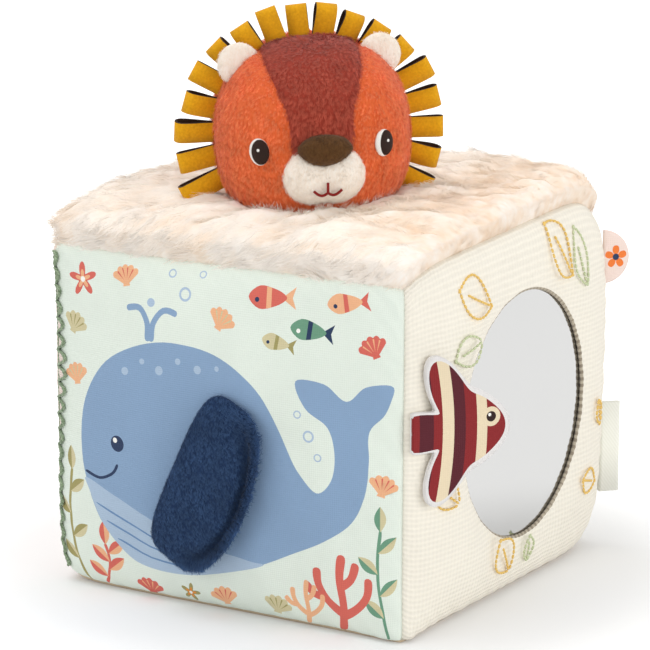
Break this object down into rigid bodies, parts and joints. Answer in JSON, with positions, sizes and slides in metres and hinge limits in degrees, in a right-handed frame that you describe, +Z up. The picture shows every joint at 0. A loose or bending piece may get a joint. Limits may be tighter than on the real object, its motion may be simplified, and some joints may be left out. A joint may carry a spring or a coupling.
{
  "type": "activity cube",
  "caption": "Soft stuffed activity cube with a fur top, a round mirror window, a lift flap, a seam charm, and a plush lion head with a ribbon loop mane that turns and nods.",
  "frame": {"origin": "centre of the flat underside, where the cube stands on the floor", "axes": "+Z up, -Y out of the printed front panel, +X out of the mirror panel"},
  "size_m": [0.1849, 0.1772, 0.2244],
  "materials": {
    "core_foam": "soft open cell foam",
    "printed_cotton": "pale mint printed cotton, matt",
    "ribbed_cotton": "cream ribbed cotton, matt",
    "back_cotton": "cream cotton, matt",
    "left_cotton": "pale pink cotton, matt",
    "base_cotton": "tan cotton, matt",
    "mirror_board": "grey board",
    "mirror_film": "silvered plastic",
    "faux_fur": "long cream pile",
    "trim_yarn": "green cotton yarn",
    "navy_lining": "navy cotton",
    "navy_plush": "short navy pile",
    "charm_backing": "off white felt",
    "charm_print": "printed felt, burgundy and cream",
    "label_ribbon": "cream woven ribbon",
    "tab_felt": "pale pink felt",
    "neck_cotton": "beige cotton",
    "stuffing": "polyester fibre fill",
    "orange_plush": "short orange pile",
    "russet_plush": "short russet pile",
    "cream_plush": "short cream pile",
    "brown_plush": "short brown pile",
    "eye_thread": "satin stitch thread",
    "mane_ribbon": "mustard felt ribbon with dark cut edges"
  },
  "bodies": {
    "cube": {"foam_core": "core_foam", "front_panel": "printed_cotton", "right_panel": "ribbed_cotton", "back_panel": "back_cotton", "left_panel": "left_cotton", "base_panel": "base_cotton", "mirror_backing": "mirror_board", "mirror_disc": "mirror_film", "fur_top": "faux_fur", "edge_trim": "trim_yarn"},
    "flap": {"flap_lining": "navy_lining", "flap_plush": "navy_plush"},
    "charm": {"charm_back": "charm_backing", "charm_front": "charm_print"},
    "label": {"side_label": "label_ribbon"},
    "tab": {"corner_tab": "tab_felt"},
    "neck": {"neck_patch": "neck_cotton"},
    "head": {"head_stuffing": "stuffing", "face_left": "orange_plush", "face_right": "orange_plush", "face_centre": "russet_plush", "head_back": "orange_plush", "muzzle": "cream_plush", "nose": "brown_plush", "eye_left": "eye_thread", "eye_right": "eye_thread", "ear_left": "cream_plush", "ear_right": "cream_plush", "mane_loop_01": "mane_ribbon", "mane_loop_02": "mane_ribbon", "mane_loop_03": "mane_ribbon", "mane_loop_04": "mane_ribbon", "mane_loop_05": "mane_ribbon", "mane_loop_06": "mane_ribbon", "mane_loop_07": "mane_ribbon", "mane_loop_08": "mane_ribbon", "mane_loop_09": "mane_ribbon", "mane_loop_10": "mane_ribbon", "mane_loop_11": "mane_ribbon", "mane_loop_12": "mane_ribbon", "mane_loop_13": "mane_ribbon", "mane_loop_14": "mane_ribbon", "mane_loop_15": "mane_ribbon", "mane_loop_16": "mane_ribbon", "mane_loop_17": "mane_ribbon", "mane_loop_18": "mane_ribbon"}
  },
  "joints": [
    {"name": "flap_lift", "type": "hinge", "parent": "cube", "child": "flap", "pos_m": [-0.01508, -0.08566, 0.05753], "axis": [-0.4382, 0.0298, -0.8984], "range_deg": [0, 110]},
    {"name": "charm_swing", "type": "hinge", "parent": "cube", "child": "charm", "pos_m": [0.07622, -0.07622, 0.078], "axis": [0, 0, -1], "range_deg": [0, 200], "stiffness_Nm_per_rad": 0.0006},
    {"name": "label_flip", "type": "hinge", "parent": "cube", "child": "label", "pos_m": [0.07544, 0.07544, 0.039], "axis": [0, 0, 1], "range_deg": [-60, 60], "stiffness_Nm_per_rad": 0.0004},
    {"name": "tab_flip", "type": "hinge", "parent": "cube", "child": "tab", "pos_m": [0.07565, 0.07565, 0.115], "axis": [0, 0, 1], "range_deg": [-50, 50], "stiffness_Nm_per_rad": 0.0006},
    {"name": "head_turn", "type": "hinge", "parent": "cube", "child": "neck", "pos_m": [0.006, -0.026, 0.1723], "axis": [0, 0, 1], "range_deg": [-30, 30], "stiffness_Nm_per_rad": 0.15},
    {"name": "head_nod", "type": "hinge", "parent": "neck", "child": "head", "pos_m": [0.006, -0.026, 0.1723], "axis": [0.766, 0.6428, 0], "range_deg": [-12, 10], "stiffness_Nm_per_rad": 0.2}
  ]
}
